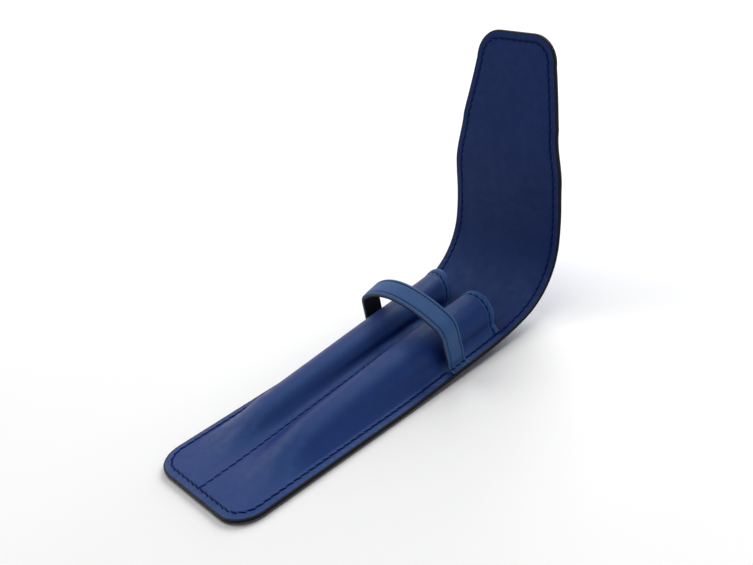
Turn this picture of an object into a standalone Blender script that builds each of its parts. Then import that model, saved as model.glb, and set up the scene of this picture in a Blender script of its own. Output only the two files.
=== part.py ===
"""A slim leather case with two channels, lying on its back with its flap standing open.

Metres, +Z up. X runs across the case, and Y from its bottom end towards the mouth and the flap.
Every leather piece is a sheet laid along one profile: a line that runs flat along the back,
lifts at the mouth, bends up and ends at the flap's tip. A place on it has three numbers:
x across, s along the line, and h above the outer side of the outer leather.
"""

import math

import bpy
from mathutils import Matrix, Vector

# Leather
cover_thickness = 0.0009
lining_thickness = 0.0006
pocket_thickness = 0.0007
hem_thickness = 0.0005
strap_thickness = 0.0009
strap_lining_thickness = 0.0006
layer_gap = 0.0001

# The case seen from above
case_width = 0.052
side_margin = 0.0043
bottom_corner_radius = 0.0105
panel_length = 0.130
mouth_setback = 0.0096
mouth_notch = 0.0039
mouth_bow = 0.0066
mouth_bow_power = 6
mouth_skew = 0.0021

# The flap: its bend, its shoulders and its tongue
bend_length = 0.042
bend_leaf_count = 5
bend_gap = 0.0005
shoulder_setback = 0.0095
shoulder_run = 0.019
neck_width = 0.0460
tongue_tip_width = 0.0376
tongue_tip_radius = 0.0105

# The profile: how long each stretch of leather is, and how far it turns up
flat_stretch = 0.066
lift_stretch = 0.010
lift_turn = math.radians(3)
rise_stretch = 0.0203
rise_turn = math.radians(10)
bend_lead = 0.0017
bend_stretch = 0.0318
bend_turn = math.radians(59)
upper_stretch = 0.0143
upper_turn = math.radians(10)
lean_stretch = 0.0316
lean_turn = math.radians(-13.5)
tip_stretch = 0.0262
tip_turn = math.radians(6.5)

# The two channels, moulded into the front
crown_height = 0.0166
crown_start = 0.006
crown_power_share = 0.52
crown_run_in_share = 0.3
seam_half_width = 0.001
seam_rise = 0.0043
seam_rise_run = 0.085
seam_fall_start = 0.100
ridge_half_width = 0.0105
floor_half_width = 0.0165
floor_lift_start = 0.106
low_section_power = 2.0
tube_width_share = 0.72
tube_foot_share = 0.33
tube_foot_flare = 2.5
tube_foot_columns = 3
hem_width = 0.0032

# The strap that holds the tongue, arched over both channels
strap_width = 0.0076
strap_setback = 0.0273
strap_skew = math.tan(math.radians(3))
strap_foot_radius = 0.0022
strap_shoulder_radius = 0.0038
strap_crown_height = 0.0233
strap_right_slope = math.radians(24)
strap_right_lean = 0.0
strap_right_toe = 0.0011
strap_left_slope = math.radians(36)
strap_left_lean = math.radians(6)
strap_left_toe = 0.0019
strap_rise = 0.0016

# How finely the sheets are divided
back_columns = 20
channel_columns = 14
flap_columns = 6
panel_row = 0.005
flap_row = 0.003
bend_row = 0.002
corner_rows = 5
curve_step = math.radians(9)
probe = 0.0004

quarter_turn = math.radians(90)
half_width = case_width / 2
foot_x = half_width - side_margin
leaf_length = bend_length / bend_leaf_count
mouth_place = panel_length - mouth_setback
strap_place = mouth_place - strap_setback
shoulder_place = panel_length + bend_length + shoulder_setback
level_stretch = panel_length - bend_lead - flat_stretch - lift_stretch - rise_stretch
lining_height = cover_thickness + layer_gap
flap_thickness = lining_height + lining_thickness
pocket_height = flap_thickness + layer_gap
margin_height = pocket_height + pocket_thickness

profile = [
    (flat_stretch, 0.0),
    (lift_stretch, lift_turn),
    (level_stretch, 0.0),
    (rise_stretch, rise_turn),
    (bend_stretch, bend_turn),
    (upper_stretch, upper_turn),
    (lean_stretch, lean_turn),
    (tip_stretch, tip_turn),
]
total_length = sum(length for length, turn in profile)


def smooth(value):
    """A value held between 0 and 1, with soft ends."""
    value = min(1.0, max(0.0, value))
    return value * value * (3 - 2 * value)


def along(stretches, s):
    """How far a line of straight and turning stretches has come, forwards and up, and its angle."""
    forward = up = angle = 0.0
    for length, turn in stretches:
        run = min(s, length)
        turned = turn * run / length
        if turned:
            radius = run / turned
            forward += radius * (math.sin(angle + turned) - math.sin(angle))
            up += radius * (math.cos(angle) - math.cos(angle + turned))
        else:
            forward += run * math.cos(angle)
            up += run * math.sin(angle)
        angle += turned
        s -= run
        if s <= 0:
            break
    return forward, up, angle


def rows_between(start, end, longest):
    """Places from start to end, evenly spaced, at most about one row apart."""
    count = max(1, round((end - start) / longest))
    return [start + (end - start) * i / count for i in range(count + 1)]


middle_y = max(along(profile, s)[0] for s in rows_between(0, total_length, bend_row)) / 2


def place(x, s, h):
    """The point at x across, s along the leather and h above its outer side."""
    y, z, angle = along(profile, s)
    return Vector((x, y - h * math.sin(angle) - middle_y, z + h * math.cos(angle)))


def panel_half_width(s):
    """Half the width of the back and the pocket, drawn in round the bottom corners."""
    inside = max(0.0, bottom_corner_radius - s)
    return half_width - bottom_corner_radius + math.sqrt(bottom_corner_radius**2 - inside**2)


def flap_half_width(s):
    """Half the width of the flap: full at the bend, drawn in at the shoulders, round at the tip."""
    neck_place = shoulder_place + shoulder_run
    straight_end = total_length - tongue_tip_radius
    shoulders = smooth((s - shoulder_place) / shoulder_run) * (case_width - neck_width) / 2
    tapered = min(1.0, max(0.0, (s - neck_place) / (straight_end - neck_place)))
    taper = tapered * (neck_width - tongue_tip_width) / 2
    past = max(0.0, s - straight_end)
    corner = tongue_tip_radius - math.sqrt(max(0.0, tongue_tip_radius**2 - past**2))
    return half_width - shoulders - taper - corner


def corner_places(radius):
    """Distances from a rounded end, closest together where the outline turns fastest."""
    return [radius * (1 - math.cos(quarter_turn * i / corner_rows)) for i in range(corner_rows)]


def panel_rows(end):
    """Rows of a sheet that starts at the bottom end."""
    return corner_places(bottom_corner_radius) + rows_between(bottom_corner_radius, end, panel_row)


def tongue_rows(start):
    """Rows of a sheet that ends at the tongue's tip."""
    straight = rows_between(start, total_length - tongue_tip_radius, flap_row)
    return straight + [total_length - back for back in reversed(corner_places(tongue_tip_radius))]


def back_relief(x, s):
    """How the back departs from the profile: it sags under each channel and rises at the seam."""
    left_table = smooth((s - floor_lift_start) / (panel_length - floor_lift_start)) ** 2
    sag = along(profile, s)[1] * (1 - left_table)
    seam_fall = smooth((s - seam_fall_start) / (panel_length - seam_fall_start))
    ridge = seam_rise * smooth(s / seam_rise_run) * (1 - seam_fall)
    from_seam = smooth(abs(x) / ridge_half_width)
    from_edge = smooth((foot_x - abs(x)) / (foot_x - floor_half_width))
    return (1 - from_seam) * ridge - from_seam * from_edge * sag


def lifted(point, share, s, lift):
    """A point of a surface, moved off it by lift, square to the surface."""
    step = 0.01
    across = point(share + step, s) - point(share - step, s)
    onward = point(share, s + probe) - point(share, s)
    return point(share, s) + across.cross(onward).normalized() * lift


def back_place(share, s):
    """The outer side of the back, from its left edge at share -1 to its right edge at 1."""
    x = share * panel_half_width(s)
    return place(x, s, back_relief(x, s))


def crown_rise(s):
    """How high a channel is moulded above the margins beside it."""
    run = min(1.0, max(0.0, (s - crown_start) / (mouth_place - crown_start)))
    growth = run**crown_power_share * smooth(run / crown_run_in_share)
    height = along(profile, s + (mouth_bow - mouth_notch / 2) * run**mouth_bow_power)[1]
    return max(0.0, (crown_height - margin_height) * growth - height)


def tube_section(across):
    """Half a round channel's section over a flared foot, from its foot at 0 to its crown at 1.

    Gives how far in from the middle line, and how high, both as shares of the whole."""
    foot_end = 2 * tube_foot_columns / channel_columns
    if across < foot_end:
        up = across / foot_end
        flare = (1 - tube_width_share) * (1 - up) ** tube_foot_flare
        return tube_width_share + flare, tube_foot_share * up
    turned = quarter_turn * (across - foot_end) / (1 - foot_end)
    return tube_width_share * math.cos(turned), tube_foot_share + (1 - tube_foot_share) * math.sin(turned)


def pocket_place(share, s):
    """The pocket's inner side, from the left edge at share -1 to the right edge at 1.

    From the middle out it has a flat seam, a channel and a flat margin. The channel is a low
    swell at the bottom end, and by the mouth a round tube. The mouth's edge is a wave: it is set
    back at the seam, the crowns reach furthest forward, and the left one more than the right."""
    side = math.copysign(1, share)
    column = abs(share) * (channel_columns + 2)
    outer_foot = panel_half_width(s) - side_margin
    wave = (s / mouth_place) ** mouth_bow_power
    seam_s = s - mouth_notch * wave
    if column <= 1:
        x = seam_half_width * column
        return place(side * x, seam_s, pocket_height + back_relief(x, seam_s))
    if column >= channel_columns + 1:
        x = outer_foot + side_margin * (column - channel_columns - 1)
        return place(side * x, s - side * mouth_skew * wave, pocket_height)
    across = (column - 1) / channel_columns
    full = smooth(s / mouth_place)
    out, up = tube_section(1 - abs(2 * across - 1))
    tube_across = 0.5 + math.copysign(out, across - 0.5) / 2
    x = seam_half_width + (outer_foot - seam_half_width) * (across + (tube_across - across) * full)
    low_up = math.sin(math.pi * across) ** low_section_power
    height_share = low_up + (up - low_up) * full
    seam_foot = back_relief(seam_half_width, seam_s)
    swell = max(0.0, crown_rise(s) - seam_foot / 4) * height_share
    bow = mouth_bow * height_share - mouth_notch * (1 - across)
    skew = side * mouth_skew * min(1.0, 2 * across)
    h = pocket_height + seam_foot * (1 - across) ** 2 + swell
    return place(side * x, s + (bow - skew) * wave, h)


def leather(name, colour, roughness):
    """A Principled material for one kind of leather."""
    made = bpy.data.materials.new(name)
    made.use_nodes = True
    shader = made.node_tree.nodes["Principled BSDF"]
    shader.inputs["Base Color"].default_value = (*colour, 1)
    shader.inputs["Roughness"].default_value = roughness
    shader.inputs["Metallic"].default_value = 0
    return made


def sheet(name, columns, rows, point, thickness, finish, carrier=None):
    """A leather sheet: a grid whose points are laid by point(share, row), given its thickness."""
    bpy.ops.mesh.primitive_grid_add(x_subdivisions=columns, y_subdivisions=len(rows) - 1, size=2)
    made = bpy.context.object
    made.name = made.data.name = name
    for vertex in made.data.vertices:
        row = round((vertex.co.y + 1) / 2 * (len(rows) - 1))
        vertex.co = point(vertex.co.x, rows[row])
    body = made.modifiers.new("thickness", "SOLIDIFY")
    body.thickness = thickness
    body.offset = 1
    made.data.materials.append(finish)
    made.data.shade_smooth()
    for collection in list(made.users_collection):
        collection.objects.unlink(made)
    case.objects.link(made)
    if carrier:
        made.parent = carrier
        made.matrix_parent_inverse = Matrix.Translation(-carrier_place[carrier.name])
    return made


def back_sheet(name, height, thickness, finish):
    """One layer of the back, from the bottom end to the start of the bend."""

    def point(share, s):
        return lifted(back_place, share, s, height) if height else back_place(share, s)

    return sheet(name, back_columns, panel_rows(panel_length - bend_gap / 2), point, thickness, finish)


def flap_sheet(name, height, thickness, rows, finish, carrier):
    """One layer of the flap or of a leaf of its bend, straight across."""

    def point(share, s):
        return place(share * flap_half_width(s), s, height)

    return sheet(name, flap_columns, rows, point, thickness, finish, carrier)


def mouth_hem(name, side, finish):
    """The turned edge sewn along the mouth of one channel, from the seam's side to its foot."""
    step = 1 / (channel_columns + 2)
    first = 2 * step
    last = channel_columns * step

    def point(share, s):
        column = side * (first + (last - first) * (1 + side * share) / 2)
        return lifted(pocket_place, column, s, pocket_thickness + layer_gap)

    rows = rows_between(mouth_place - hem_width, mouth_place, hem_width / 2)
    return sheet(name, channel_columns - 2, rows, point, hem_thickness, finish)


def strap_half(slope, lean, toe):
    """The strap's inner side, from its middle down to one foot: crown, shoulder, leg, foot, toe.

    The crown and the leg get the lengths that bring the toe to the margin's edge."""
    base = margin_height + layer_gap
    shoulder_run = strap_shoulder_radius * (math.cos(lean) - math.sin(slope))
    shoulder_drop = strap_shoulder_radius * (math.cos(slope) - math.sin(lean))
    foot_run = strap_foot_radius * math.cos(lean)
    foot_drop = strap_foot_radius * (1 - math.sin(lean))
    run = half_width - shoulder_run - foot_run - toe
    drop = strap_crown_height - base - shoulder_drop - foot_drop
    crown_fall = math.tan(slope / 2)
    crown_run = (run - drop * math.tan(lean)) / (1 - crown_fall * math.tan(lean))
    leg = (drop - crown_run * crown_fall) / math.cos(lean)
    return [
        (crown_run / math.sin(slope) * slope, -slope),
        (strap_shoulder_radius * (quarter_turn - slope - lean), slope + lean - quarter_turn),
        (leg, 0.0),
        (strap_foot_radius * (quarter_turn - lean), quarter_turn - lean),
        (toe, 0.0),
    ]


def strap_rows(stretches):
    """Places along one half of the strap, closer together where it turns."""
    rows = [0.0]
    for length, turn in stretches:
        steps = max(1, math.ceil(abs(turn) / curve_step))
        start = rows[-1]
        rows += [start + length * (i + 1) / steps for i in range(steps)]
    return rows


def strap_sheet(name, inset, thickness, finish):
    """One layer of the strap. Its rows run along the strap, and its columns across its width."""
    left = strap_half(strap_left_slope, strap_left_lean, strap_left_toe)
    right = strap_half(strap_right_slope, strap_right_lean, strap_right_toe)
    rows = [-s for s in reversed(strap_rows(left))] + strap_rows(right)[1:]

    def point(share, s):
        across, up, angle = along(right if s > 0 else left, abs(s))
        x = math.copysign(across - inset * math.sin(angle), s)
        h = strap_crown_height + up + inset * math.cos(angle)
        rise = strap_rise / 2 * share * smooth(h / strap_crown_height)
        front = strap_place - strap_skew * x
        return place(x, front + strap_width * (1 - share) / 2, h - rise)

    return sheet(name, 2, rows, point, thickness, finish)


for old in list(bpy.data.objects):
    bpy.data.objects.remove(old)

case = bpy.data.collections.new("two_pen_case")
bpy.context.scene.collection.children.link(case)

blue = leather("blue_leather", (0.022, 0.045, 0.155), 0.42)
blue_lining = leather("blue_lining_leather", (0.018, 0.036, 0.125), 0.5)
blue_strap = leather("blue_strap_leather", (0.03, 0.062, 0.18), 0.42)
black = leather("black_lining_leather", (0.01, 0.01, 0.012), 0.75)

back_sheet("back_cover", 0, cover_thickness, blue)
back_sheet("back_lining", lining_height, lining_thickness, blue_lining)
pocket_columns = 2 * (channel_columns + 2)
sheet("pocket_front", pocket_columns, panel_rows(mouth_place), pocket_place, pocket_thickness, blue)
mouth_hem("mouth_hem_left", -1, blue_strap)
mouth_hem("mouth_hem_right", 1, blue_strap)
strap_sheet("strap_lining", 0, strap_lining_thickness, black)
strap_sheet("strap_band", strap_lining_thickness + layer_gap, strap_thickness, blue_strap)

# The flap bends along six lines across the leather: each carries all that lies beyond it
carrier_place = {}
carrier = None
for i in range(bend_leaf_count + 1):
    start = panel_length + leaf_length * i
    here = place(0, start, flap_thickness / 2)
    axis = bpy.data.objects.new(f"flap_bend_{i + 1}_axis", None)
    case.objects.link(axis)
    axis.location = here - (carrier_place[carrier.name] if carrier else Vector())
    axis.parent = carrier
    carrier_place[axis.name] = here
    carrier = axis
    if i < bend_leaf_count:
        name = f"bend_{i + 1}"
        rows = rows_between(start + bend_gap / 2, start + leaf_length - bend_gap / 2, bend_row)
    else:
        name = "flap"
        rows = tongue_rows(start + bend_gap / 2)
    flap_sheet(f"{name}_cover", 0, cover_thickness, rows, blue, axis)
    flap_sheet(f"{name}_lining", lining_height, lining_thickness, rows, blue_lining, axis)
    print(f"flap_bend_{i + 1}: axis at {[round(v, 5) for v in here]}")
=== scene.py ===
# %% [markdown]
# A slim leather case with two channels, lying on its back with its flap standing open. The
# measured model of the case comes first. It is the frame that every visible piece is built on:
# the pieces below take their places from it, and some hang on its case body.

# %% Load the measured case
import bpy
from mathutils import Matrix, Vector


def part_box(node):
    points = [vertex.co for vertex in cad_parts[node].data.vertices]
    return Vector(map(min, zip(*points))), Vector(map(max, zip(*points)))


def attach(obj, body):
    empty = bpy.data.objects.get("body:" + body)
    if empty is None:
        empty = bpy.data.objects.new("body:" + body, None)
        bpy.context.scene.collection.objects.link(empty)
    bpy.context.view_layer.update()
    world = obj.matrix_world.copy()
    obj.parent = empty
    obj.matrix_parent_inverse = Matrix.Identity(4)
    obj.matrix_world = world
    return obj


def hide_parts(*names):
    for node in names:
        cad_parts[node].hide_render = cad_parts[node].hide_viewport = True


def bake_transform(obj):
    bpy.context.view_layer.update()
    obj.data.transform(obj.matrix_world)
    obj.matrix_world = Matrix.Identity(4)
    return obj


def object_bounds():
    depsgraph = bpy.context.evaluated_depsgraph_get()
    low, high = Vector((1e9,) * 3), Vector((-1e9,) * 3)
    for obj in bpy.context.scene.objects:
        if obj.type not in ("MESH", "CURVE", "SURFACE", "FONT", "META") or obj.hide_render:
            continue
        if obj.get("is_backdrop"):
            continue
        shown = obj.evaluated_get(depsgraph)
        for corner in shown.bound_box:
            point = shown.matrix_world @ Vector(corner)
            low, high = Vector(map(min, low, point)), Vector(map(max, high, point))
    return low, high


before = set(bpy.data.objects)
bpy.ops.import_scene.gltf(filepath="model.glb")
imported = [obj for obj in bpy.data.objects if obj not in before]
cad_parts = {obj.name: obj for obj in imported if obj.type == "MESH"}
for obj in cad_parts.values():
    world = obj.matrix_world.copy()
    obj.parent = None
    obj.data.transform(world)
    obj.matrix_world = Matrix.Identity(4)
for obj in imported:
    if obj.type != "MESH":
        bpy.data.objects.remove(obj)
cad_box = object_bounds()

# %% Tools
import math

import bmesh
import bpy
import numpy as np
from mathutils import Matrix

mm = 0.001


def new_object(name, data):
    """An object of this data, in the scene."""
    made = bpy.data.objects.new(name, data)
    bpy.context.scene.collection.objects.link(made)
    return made


def smooth(value):
    """A value held between 0 and 1, with soft ends."""
    value = np.clip(value, 0, 1)
    return value * value * (3 - 2 * value)


def at_least(low, share):
    """A share that runs from low to 1, instead of from 0 to 1."""
    return low + (1 - low) * share


def spaced(start, end, step):
    """Places from start to end, evenly spaced, about one step apart."""
    return np.linspace(start, end, max(2, round(abs(end - start) / step) + 1))


def unit(directions):
    """The same directions, each of length one."""
    return directions / np.linalg.norm(directions, axis=-1, keepdims=True)


def run_along(points):
    """How far along their line points are."""
    steps = np.linalg.norm(np.diff(points, axis=0), axis=-1)
    return np.concatenate([[0], np.cumsum(steps)])


# %% [markdown]
# The whole case is sheet leather. On the real one an outer piece and a thin lining run from the
# closed bottom end, along the back, up through the bend and on to the flap's tip. A sheet like
# that could be sculpted, but then nothing would line up. Here every point has three numbers as
# it has on the bench: x across the leather, s along it, and a height above its outer side. One
# profile, a line of straight and turning stretches, then bends the flat leather into its shape.

# %% The profile of the leather: how long each stretch is, and how far it turns up
profile = [(length * mm, math.radians(turn)) for length, turn in (
    (66.0, 0), (10.0, 3), (32.0, 0), (20.3, 10), (31.8, 59), (14.3, 10), (31.6, -13.5), (26.2, 6.5))]
total_length = sum(length for length, turn in profile)


def along(stretches, s):
    """How far a line of straight and turning stretches has come, forwards and up, and its angle."""
    forward = np.zeros_like(s)
    up = np.zeros_like(s)
    angle = np.zeros_like(s)
    left = s.copy()
    for i, (length, turn) in enumerate(stretches):
        run = np.clip(left, None if i == 0 else 0, length)
        turned = turn * run / length
        chord = run * np.sinc(turned / 2 / np.pi)
        forward += chord * np.cos(angle + turned / 2)
        up += chord * np.sin(angle + turned / 2)
        angle += turned
        left = left - length
    return forward, up, angle


middle_y = along(profile, np.linspace(0, total_length, 4000))[0].max() / 2


def place(x, s, height):
    """Points at x across, s along the leather and a height above its outer side."""
    x, s, height = np.broadcast_arrays(x, s, height)
    forward, up, angle = along(profile, s.astype(float))
    y = forward - height * np.sin(angle) - middle_y
    z = up + height * np.cos(angle)
    return np.stack([x, y, z], axis=-1)


print(f"leather from end to end: {total_length / mm:.1f} mm")

# %% [markdown]
# The outline is drawn flat. Round corners close the bottom end, the panel is straight, and the
# flap draws in at two soft shoulders to a tongue with a round tip. The cutting line, the stitch
# line and the painted edge all follow it, so they are found by stepping inwards from it.

# %% The outline of the flat leather
case_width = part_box("pocket_front")[1].x * 2
half_width = case_width / 2
bottom_radius = 10.5 * mm
panel_length = 130 * mm
leaf_length = 8.4 * mm
leaf_count = 5
shoulder_place = panel_length + leaf_length * leaf_count + 9.5 * mm
shoulder_run = 19 * mm
neck_width = 46 * mm
tip_width = 37.6 * mm
tip_radius = 10.5 * mm


def half_outline(s):
    """Half the width of the leather at places s."""
    inside = np.clip(bottom_radius - s, 0, bottom_radius)
    panel = half_width - bottom_radius + np.sqrt(bottom_radius**2 - inside**2)
    neck_place = shoulder_place + shoulder_run
    straight_end = total_length - tip_radius
    shoulders = smooth((s - shoulder_place) / shoulder_run) * (case_width - neck_width) / 2
    past_neck = np.clip((s - neck_place) / (straight_end - neck_place), 0, 1)
    taper = past_neck * (neck_width - tip_width) / 2
    past = np.clip(s - straight_end, 0, tip_radius)
    corner = tip_radius - np.sqrt(tip_radius**2 - past**2)
    return np.minimum(panel, half_width - shoulders - taper - corner)


def side_points(rows):
    """The right side of the outline at these rows, with the direction inwards, square to it."""
    step = 0.01 * mm
    before = np.clip(rows - step, 0, total_length)
    after = np.clip(rows + step, 0, total_length)
    slope = (half_outline(after) - half_outline(before)) / (after - before)
    size = np.sqrt(1 + slope**2)
    return half_outline(rows), rows, -1 / size, slope / size


corner_angles = np.radians(np.arange(0, 90, 6))
bottom_rows = bottom_radius * (1 - np.cos(corner_angles))
tip_rows = total_length - tip_radius * (1 - np.cos(corner_angles))

# %% The stitch line, 3 mm inside the outline, measured from the middle of the bottom end
stitch_inset = 3.0 * mm
stitch_pitch = 2.9 * mm

straight_rows = spaced(bottom_radius, total_length - tip_radius, 0.5 * mm)
outline_rows = np.concatenate([bottom_rows, straight_rows, tip_rows[::-1]])
edge_x, edge_s, inward_x, inward_s = side_points(outline_rows)
line_x = np.concatenate([[0], edge_x + inward_x * stitch_inset, [0]])
line_s = edge_s + inward_s * stitch_inset
line_s = np.concatenate([line_s[:1], line_s, line_s[-1:]])
line_run = run_along(np.stack([line_x, line_s], -1))
half_stitches = round(line_run[-1] / stitch_pitch)
stitch_step = line_run[-1] / half_stitches
print(f"outline stitches: {2 * half_stitches}, one every {stitch_step / mm:.2f} mm")

# %% [markdown]
# Under each channel the back sags on to the table while its margins lift a little, and at the
# seam it rises in a low ridge. The front is moulded: a flat sewn margin at each side, a seam in
# the middle, and between them two channels that swell from nothing at the bottom end into round
# tubes at the mouth. Real moulded leather has no sharp folds, so the front is a running average
# of the measured shape, which rounds the creases at the foot of each tube.

# %% The back's own shape
floor_half_width = 16.5 * mm
foot_x = half_width - 4.3 * mm
ridge_half_width = 10.5 * mm
seam_rise = 4.3 * mm
seam_rise_run = 85 * mm
seam_fall_start = 100 * mm
floor_lift_start = 106 * mm


def back_relief(x, s):
    """How the back departs from the profile: it sags under each channel and rises at the seam."""
    left_table = smooth((s - floor_lift_start) / (panel_length - floor_lift_start)) ** 2
    sag = along(profile, s)[1] * (1 - left_table)
    seam_fall = smooth((s - seam_fall_start) / (panel_length - seam_fall_start))
    ridge = seam_rise * smooth(s / seam_rise_run) * (1 - seam_fall)
    from_seam = smooth(np.abs(x) / ridge_half_width)
    from_edge = smooth((foot_x - np.abs(x)) / (foot_x - floor_half_width))
    return (1 - from_seam) * ridge - from_seam * from_edge * sag


def back_surface(x, s):
    """The outer side of the outer leather."""
    x, s = np.broadcast_arrays(np.asarray(x, float), np.asarray(s, float))
    return place(x, s, back_relief(x, s))


# %% The shape of the moulded front
cover_top = 0.94 * mm
lining_low = 0.95 * mm
lining_top = 1.62 * mm
pocket_height = 1.7 * mm
pocket_thickness = 0.7 * mm
margin_height = pocket_height + pocket_thickness
side_margin = 4.3 * mm
mouth_place = panel_length - 9.6 * mm
mouth_notch = 3.9 * mm
mouth_bow = 6.6 * mm
mouth_bow_power = 6
mouth_skew = 2.1 * mm
crown_height = 16.6 * mm
crown_start = 6 * mm
crown_power_share = 0.52
crown_run_in_share = 0.3
seam_half_width = 1 * mm
channel_columns = 14
tube_width_share = 0.72
tube_foot_share = 0.33
tube_foot_flare = 2.5
tube_foot_columns = 3
margin_column = 1.5 * mm
low_hill_power = 1.5
low_hill_power_drop = 0.6
low_hill_outer_half = (0.3, 0.8)
seam_foot_share = 0.25
# Each fold's middle beside the seam, its drift, its start and end along the case, its half width
# and its height.
mould_folds = np.array([
    (2.7, 1.0, 24, 78, 0.9, 0.30),
    (5.4, 1.2, 30, 70, 1.2, 0.16),
    (-4.0, -0.6, 34, 84, 1.2, 0.14),
    (-20.0, 0.6, 22, 60, 1.1, 0.16),
    (18.5, 0.5, 40, 88, 1.2, 0.14),
]) * mm
fold_end_power = 0.7
side_step = 0.2 * mm
column_step = 0.05


def mouth_wave(s):
    """How much of the mouth's waved edge a row has: all at the mouth, and nearly none below it."""
    return (np.clip(s, 0, None) / mouth_place) ** mouth_bow_power


def crown_rise(s):
    """How high a channel is moulded above the margins beside it."""
    run = np.clip((s - crown_start) / (mouth_place - crown_start), 0, 1)
    growth = run**crown_power_share * smooth(run / crown_run_in_share)
    height = along(profile, s + (mouth_bow - mouth_notch / 2) * run**mouth_bow_power)[1]
    return np.clip((crown_height - margin_height) * growth - height, 0, None)


def soft_folds(x, s):
    """Long shallow folds that moulding leaves beside the seam: how far each lifts the leather."""
    lift = np.zeros_like(x)
    for middle, drift, start, end, half, high in mould_folds:
        share = np.clip((s - start) / (end - start), 0, 1)
        from_middle = (x - middle - drift * share) / half
        lift += high * np.sin(np.pi * share) ** fold_end_power * np.exp(-(from_middle**2))
    return lift


def tube_section(across):
    """Half a round channel's section over a flared foot: how far out, and how high, as shares."""
    foot_end = 2 * tube_foot_columns / channel_columns
    up = np.clip(across / foot_end, 0, 1)
    foot_out = at_least(tube_width_share, (1 - up) ** tube_foot_flare)
    turned = np.pi / 2 * np.clip((across - foot_end) / (1 - foot_end), 0, 1)
    out = np.where(across < foot_end, foot_out, tube_width_share * np.cos(turned))
    round_up = at_least(tube_foot_share, np.sin(turned))
    return out, np.where(across < foot_end, tube_foot_share * up, round_up)


def channel_foot(s):
    """Where a channel's outer foot meets the margin, drawn in round the bottom corners."""
    radius = bottom_radius - side_margin
    inside = np.clip(bottom_radius - s, 0, radius)
    return half_width - bottom_radius + np.sqrt(radius**2 - inside**2)


def measured_front(column, s):
    """The pocket's inner side. Column 0 is the seam's middle, and 1 to 15 a channel on each side."""
    side = np.where(column < 0, -1.0, 1.0)
    column = np.abs(column)
    wave = mouth_wave(s)
    outer = channel_foot(s)
    seam_s = s - mouth_notch * wave
    across = np.clip((column - 1) / channel_columns, 0, 1)
    full = smooth(s / mouth_place)
    out, up = tube_section(1 - np.abs(2 * across - 1))
    tube_across = 0.5 + np.sign(across - 0.5) * out / 2
    x = seam_half_width + (outer - seam_half_width) * (across + (tube_across - across) * full)
    x = np.where(column < 1, seam_half_width * column, x)
    x = x + np.clip(column - channel_columns - 1, 0, None) * margin_column
    start, end = low_hill_outer_half
    outer_half = smooth((across - start) / (end - start))
    low_up = np.sin(np.pi * across) ** (low_hill_power - low_hill_power_drop * outer_half)
    height_share = low_up + (up - low_up) * full
    seam_foot = back_relief(seam_half_width, seam_s)
    swell = np.clip(crown_rise(s) - seam_foot * seam_foot_share, 0, None) * height_share
    bow = mouth_bow * height_share - mouth_notch * (1 - across)
    skew = side * mouth_skew * np.clip(2 * across, 0, 1)
    height = pocket_height + seam_foot * (1 - across) ** 2 + swell + soft_folds(side * x, s)
    seam_height = pocket_height + back_relief(x, seam_s)
    return place(side * x, s + (bow - skew) * wave, np.where(column < 1, seam_height, height))


def front_surface(column, s):
    """The pocket's inner side, with its creases rounded."""
    column, s = np.broadcast_arrays(np.asarray(column, float), np.asarray(s, float))
    shares = {-0.6: 1 / 16, -0.3: 4 / 16, 0.0: 6 / 16, 0.3: 4 / 16, 0.6: 1 / 16}
    return sum(share * measured_front(column + shift, s) for shift, share in shares.items())


def raised(surface, a, b, lift, step_a, step_b=side_step):
    """Points of a surface moved off it by lift, square to it, and the directions they moved in."""
    across = surface(a + step_a, b) - surface(a - step_a, b)
    onward = surface(a, b + step_b) - surface(a, b - step_b)
    normal = unit(np.cross(across, onward))
    return surface(a, b) + normal * np.asarray(lift, float)[..., None], normal


def on_back(x, s, height):
    """Points of the back, the bend or the flap, at a height above their outer side."""
    return raised(back_surface, x, s, height, side_step)[0]


def on_front(column, s, lift):
    """Points of the moulded front, at a height above its inner side."""
    return raised(front_surface, column, s, lift, column_step)[0]


crown = on_front(np.array([-8.0, 8.0]), np.array([mouth_place, mouth_place]), pocket_thickness)
print("channel crowns at the mouth, z in mm:", (crown[:, 2] / mm).round(1))

# %% [markdown]
# Each piece of leather is a closed mesh with real thickness. A Solidify modifier would do for a
# plain sheet, but not for a cut edge where several layers meet, rounded by sanding and painted.
# So a sheet is built in two parts: a grid for its middle, and a border that runs round the
# outline. The border's section goes from the top face over a pressed stitch groove, round the
# cut edge and back along the bottom face. All layers are sanded together, so the rounding at any
# height follows the whole stack, and a small notch shows where two layers meet.

# %% Build a mesh, and keep leather coordinates at its points
def mesh_piece(name, points, faces, face_finish, finishes, **kept):
    """A mesh object. face_finish says which finish each face has, and kept holds named values."""
    mesh = bpy.data.meshes.new(name)
    mesh.from_pydata(points.reshape(-1, 3).tolist(), [], faces)
    for finish in finishes:
        mesh.materials.append(finish)
    mesh.polygons.foreach_set("material_index", face_finish)
    work = bmesh.new()
    work.from_mesh(mesh)
    bmesh.ops.recalc_face_normals(work, faces=work.faces)
    work.to_mesh(mesh)
    work.free()
    for key, values in kept.items():
        values = np.asarray(values, np.float32)
        kind, field = ("FLOAT_VECTOR", "vector") if values.ndim == 2 else ("FLOAT", "value")
        mesh.attributes.new(key, kind, "POINT").data.foreach_set(field, values.ravel())
    mesh.shade_smooth()
    mesh.set_sharp_from_angle(angle=math.radians(42))
    return new_object(name, mesh)


def flat_points(x, s, height):
    """Flat leather coordinates: a row of x, s and height for each point."""
    return np.stack(np.broadcast_arrays(x, s, height), -1).reshape(-1, 3)


def strips(first, second):
    """Quads between two equally long lines of points."""
    return np.stack([first[:-1], first[1:], second[1:], second[:-1]], axis=-1).tolist()


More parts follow.
